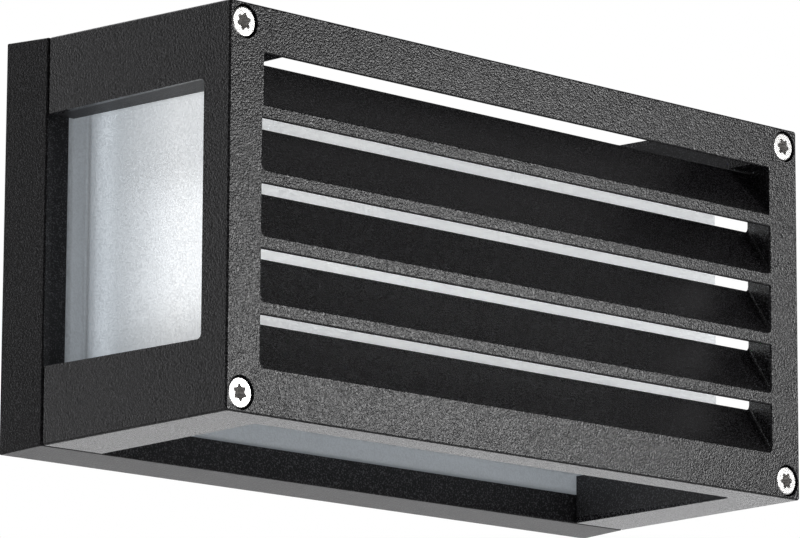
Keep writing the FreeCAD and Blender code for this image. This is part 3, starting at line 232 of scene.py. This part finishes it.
def satin_glass(name):
    """Etched glass whose glow is painted light in its own emission: a pale band near its foot, a broad glow
    further out, painted shade lower down, a painted shadow at its foot and a darker flange.
    """
    m = Maker(name)
    etch = m.noise(scale=1650, detail=1.0)
    cloud = m.noise(scale=22)
    power, flange, front, forward = painted_glass_glow(m)
    tone = m.blend(m.sweep(cloud, (0.35, 0.65)), (0.84, 0.86, 0.88), (0.9, 0.915, 0.92))
    # Painted shade: the flange is darker in colour, and it has its own even painted glow.
    tone = m.blend(flange, tone, (0.42, 0.43, 0.44))
    tone = m.blend(m.sweep(etch, (0.32, 0.68), (0.2, 0.0)), tone, (0.5, 0.52, 0.54))
    hue = m.blend(forward, (0.84, 0.92, 1.0), (0.985, 0.995, 1.0))
    grains = m.sweep(etch, (0.36, 0.64), (0.72, 1.28))
    # The emission is painted light, not a lamp's: bluer towards the back and warm white on the front.
    m.varied(Base_Color=tone,
             Roughness=m.sweep(etch, MOST, (0.38, 0.6)),
             Emission_Color=m.blend(front, hue, (1.0, 0.995, 0.985)),
             Emission_Strength=m.maths("MULTIPLY", power, grains))
    m.even(IOR=1.45, Transmission_Weight=0.35)
    m.bump(etch, depth=0.0001, strength=0.6)
    return m.material


def metal(name, dark, light, rough, scratch=(2400, 90, 2400)):
    """Plated, drawn or turned metal with fine tool marks and a slow change of tone."""
    m = Maker(name)
    slow = m.noise(scale=1.0, detail=3.0, rough=0.55, place=m.stretch((260, 260, 260)))
    marks = m.noise(scale=1.0, place=m.stretch(scratch))
    m.varied(Base_Color=m.blend(m.sweep(slow, MOST), dark, light), Roughness=m.sweep(marks, MOST, rough))
    m.even(Metallic=1.0)
    m.bump(marks, depth=0.00003, strength=0.5)
    return m.material


def stainless(name):
    """Bright turned steel. In the sockets it is made rougher, half metallic and a little darker: painted
    light and shade for the recess.
    """
    m = Maker(name)
    slow = m.noise(scale=700)
    turned = m.noise(scale=5200, detail=1.0)
    depth = m.axis("Y")
    socket = m.lower(m.sweep(depth, SOCKET_MOUTH), m.sweep(depth, SOCKET_FLOOR))
    tone = m.blend(m.sweep(slow, MOST), (0.83, 0.82, 0.8), (0.93, 0.925, 0.915))
    # Painted shade and light in the socket: a slightly darker colour, and only half metallic so that the
    # recess shows a mid-grey.
    m.varied(Base_Color=m.blend(socket, tone, (0.8, 0.785, 0.77)),
             Roughness=m.more(m.sweep(turned, MOST, (0.16, 0.3)), socket, 0.2),
             Metallic=m.sweep(socket, (0.0, 1.0), (1.0, 0.5)))
    m.bump(turned, depth=0.00001, strength=0.4)
    return m.material


def smooth(name, dark, light, rough, scale=60.0, peel=420.0, depth=0.00006, coat=0.0, through=0.0,
           glow=0.0):
    """Enamel, glaze, moulded plastic or rubber: a little mottling and a little orange peel."""
    m = Maker(name)
    mottle = m.noise(scale=scale, detail=3.0)
    skin = m.noise(scale=peel)
    m.varied(Base_Color=m.blend(m.sweep(mottle, MOST), dark, light), Roughness=m.sweep(skin, MOST, rough))
    m.even(Coat_Weight=coat, Coat_Roughness=0.08, Transmission_Weight=through)
    if glow:
        m.even(Subsurface_Weight=glow, Subsurface_Scale=0.004)
    m.bump(skin, depth=depth, strength=0.4)
    return m.material


def earth_pvc(name):
    """Green and yellow stripes round the short earth lead."""
    m = Maker(name)
    wave = m.add("ShaderNodeTexWave", wave_type="BANDS", bands_direction="DIAGONAL")
    m.join(m.place, wave.inputs["Vector"])
    wave.inputs["Scale"].default_value = 95.0
    skin = m.noise(scale=900)
    stripe = m.sweep(wave.outputs["Fac"], (0.46, 0.54))
    m.varied(Base_Color=m.blend(stripe, (0.06, 0.26, 0.05), (0.78, 0.62, 0.05)),
             Roughness=m.sweep(skin, MOST, (0.32, 0.46)))
    m.bump(skin, depth=0.00004, strength=0.4)
    return m.material


# What each slot of the record is made of. Colours are linear; rough is the range of the roughness.

SLOTS = {
    "cast_paint": (cast_paint, dict(share=1.0, index=1.5, rough=(0.2, 0.3))),
    "satin_glass": (satin_glass, {}),
    "gasket_rubber": (smooth, dict(dark=(0.012, 0.012, 0.012), light=(0.03, 0.03, 0.031),
                                   rough=(0.55, 0.75), peel=1400.0, depth=0.00012)),
    "stainless": (stainless, {}),
    "white_enamel": (smooth, dict(dark=(0.79, 0.79, 0.77), light=(0.86, 0.86, 0.84), rough=(0.22, 0.34),
                                  peel=520.0, depth=0.0001, coat=0.35)),
    "zinc_steel": (metal, dict(dark=(0.5, 0.51, 0.53), light=(0.66, 0.67, 0.7), rough=(0.26, 0.42))),
    "porcelain": (smooth, dict(dark=(0.78, 0.77, 0.73), light=(0.85, 0.84, 0.8), rough=(0.16, 0.26),
                               scale=45.0, peel=160.0, depth=0.00015, coat=0.5)),
    "nickel_brass": (metal, dict(dark=(0.58, 0.55, 0.47), light=(0.7, 0.67, 0.58), rough=(0.2, 0.34))),
    "lamp_aluminium": (metal, dict(dark=(0.62, 0.63, 0.64), light=(0.76, 0.77, 0.78),
                                   rough=(0.24, 0.38), scratch=(90, 2400, 2400))),
    "black_glass": (smooth, dict(dark=(0.008, 0.008, 0.009), light=(0.02, 0.02, 0.022),
                                 rough=(0.12, 0.2), coat=0.4)),
    "tin_contact": (metal, dict(dark=(0.52, 0.52, 0.5), light=(0.7, 0.7, 0.68), rough=(0.3, 0.5))),
    "lamp_plastic": (smooth, dict(dark=(0.78, 0.78, 0.76), light=(0.83, 0.83, 0.81), rough=(0.34, 0.48),
                                  peel=1100.0)),
    "frosted_plastic": (smooth, dict(dark=(0.86, 0.86, 0.84), light=(0.91, 0.91, 0.9), rough=(0.4, 0.55),
                                     peel=1500.0, depth=0.00005, glow=0.3)),
    "clear_nylon": (smooth, dict(dark=(0.7, 0.7, 0.65), light=(0.82, 0.82, 0.78), rough=(0.3, 0.45),
                                 peel=700.0, depth=0.00005, through=0.25)),
    "bare_brass": (metal, dict(dark=(0.6, 0.42, 0.17), light=(0.78, 0.58, 0.28), rough=(0.22, 0.4))),
    "brown_pvc": (smooth, dict(dark=(0.12, 0.05, 0.025), light=(0.17, 0.075, 0.035), rough=(0.3, 0.42),
                               peel=900.0)),
    "blue_pvc": (smooth, dict(dark=(0.03, 0.1, 0.3), light=(0.045, 0.15, 0.4), rough=(0.3, 0.42),
                              peel=900.0)),
    "earth_pvc": (earth_pvc, {}),
}


def dress():
    """Each node gets the material of its slot. The base gets a darker, less shiny copy of the cage's paint:
    painted shade on the same paint.
    """
    materials = {slot: make(slot, **settings) for slot, (make, settings) in SLOTS.items()}
    for part in frame["record"]["subparts"]:
        mesh = nodes[part["node"]].data
        mesh.materials.clear()
        mesh.materials.append(materials[part["material_slot"]])
    # Painted shade: a darker, less shiny copy of the same powder coat, for the base.
    shaded_base_paint = cast_paint("cast_paint_base_shaded", share=0.8, index=1.32, rough=(0.28, 0.38))
    nodes["base_housing"].data.materials[0] = shaded_base_paint


# The floor, the light and the camera

def floor_paper():
    """Pale paper with a painted glow in its emission that grows far off, so that its edge melts into the
    white around it.
    """
    m = Maker("floor_paper")
    fibre = m.noise(scale=40, detail=3.0)
    away = m.add("ShaderNodeVectorMath", operation="LENGTH")
    m.join(m.place, away.inputs[0])
    # The emission is a painted glow that grows with distance from the light.
    m.varied(Base_Color=m.blend(m.sweep(fibre, MOST), (0.84, 0.84, 0.835), (0.88, 0.88, 0.875)),
             Roughness=m.sweep(fibre, MOST, (0.8, 0.9)),
             Emission_Strength=m.sweep(away.outputs["Value"], FLOOR_LIGHTENS, (0.0, FLOOR_FAR_POWER)))
    m.even(Emission_Color=(1.0, 1.0, 1.0, 1.0))
    return m.material


def make_floor():
    mesh = bpy.data.meshes.new("floor")
    corners = ((-1, -1), (1, -1), (1, 1), (-1, 1))
    points = [(x * FLOOR_HALF, y * FLOOR_HALF, FLOOR_HEIGHT) for x, y in corners]
    mesh.from_pydata(points, [], [(0, 1, 2, 3)])
    mesh.materials.append(floor_paper())
    floor = bpy.data.objects.new("floor", mesh)
    bpy.context.scene.collection.objects.link(floor)


def make_softbox(spot, aim, side, power):
    """A small square softbox, in front and to the right."""
    data = bpy.data.lights.new("softbox", "AREA")
    data.shape = "RECTANGLE"
    data.size = side
    data.size_y = side
    data.energy = power
    light = bpy.data.objects.new("softbox", data)
    light.location = spot
    light.rotation_mode = "QUATERNION"
    light.rotation_quaternion = (Vector(aim) - Vector(spot)).to_track_quat("-Z", "Y")
    bpy.context.scene.collection.objects.link(light)


def make_world(towards, reach, strength):
    """White where it is looked at. The light it gives comes mostly from behind, right and below."""
    world = bpy.data.worlds.new("studio")
    world.use_nodes = True
    tree = world.node_tree
    tree.nodes.clear()
    output = tree.nodes.new("ShaderNodeOutputWorld")
    ray = tree.nodes.new("ShaderNodeLightPath")
    place = tree.nodes.new("ShaderNodeTexCoord")
    share = tree.nodes.new("ShaderNodeVectorMath")
    slope = tree.nodes.new("ShaderNodeMapRange")
    shown = tree.nodes.new("ShaderNodeBackground")
    around = tree.nodes.new("ShaderNodeBackground")
    mix = tree.nodes.new("ShaderNodeMixShader")
    shown.inputs["Color"].default_value = (1.0, 1.0, 1.0, 1.0)
    around.inputs["Color"].default_value = (0.985, 0.985, 1.0, 1.0)
    share.operation = "DOT_PRODUCT"
    share.inputs[1].default_value = towards
    slope.interpolation_type = "SMOOTHERSTEP"
    for key, number in zip(("From Min", "From Max", "To Min", "To Max"), (*reach, *strength)):
        slope.inputs[key].default_value = number
    for start, end in ((place.outputs["Generated"], share.inputs[0]),
                       (share.outputs["Value"], slope.inputs["Value"]),
                       (slope.outputs["Result"], around.inputs["Strength"]),
                       (ray.outputs["Is Camera Ray"], mix.inputs["Fac"]),
                       (around.outputs["Background"], mix.inputs[1]),
                       (shown.outputs["Background"], mix.inputs[2]),
                       (mix.outputs["Shader"], output.inputs["Surface"])):
        tree.links.new(start, end)
    bpy.context.scene.world = world


def make_camera():
    """The photograph's own viewpoint: far off, from the left, below and in front."""
    right = Vector((0.713792, -0.700346, 0.004006))
    down = Vector((0.134155, 0.131104, -0.982249))
    forward = Vector((0.687394, 0.701658, 0.187537))
    spot = Vector((-1.09299, -1.16772, -0.30036))
    data = bpy.data.cameras.new("camera")
    width, height = PICTURE_SIZE
    data.sensor_fit = "HORIZONTAL"
    data.sensor_width = SENSOR_WIDTH
    data.lens = SENSOR_WIDTH * FOCAL_PIXELS / width
    data.shift_x = -(PICTURE_CENTRE[0] - width / 2) / width
    data.shift_y = (PICTURE_CENTRE[1] - height / 2) / width
    data.clip_start = 0.05
    data.clip_end = 50.0
    camera = bpy.data.objects.new("camera", data)
    axes = Matrix((right, -down, -forward)).transposed().to_4x4()
    camera.matrix_world = Matrix.Translation(spot) @ axes
    bpy.context.scene.collection.objects.link(camera)
    bpy.context.scene.camera = camera


dress()
make_floor()
make_softbox(spot=(0.95, -1.17, 0.22), aim=(0.0, -0.06, 0.0), side=0.26, power=3.0)
make_world(towards=(0.3, 0.93, -0.2), reach=(0.17, 0.93), strength=(0.08, 1.85))
make_camera()
bpy.context.scene.view_settings.view_transform = "Standard"
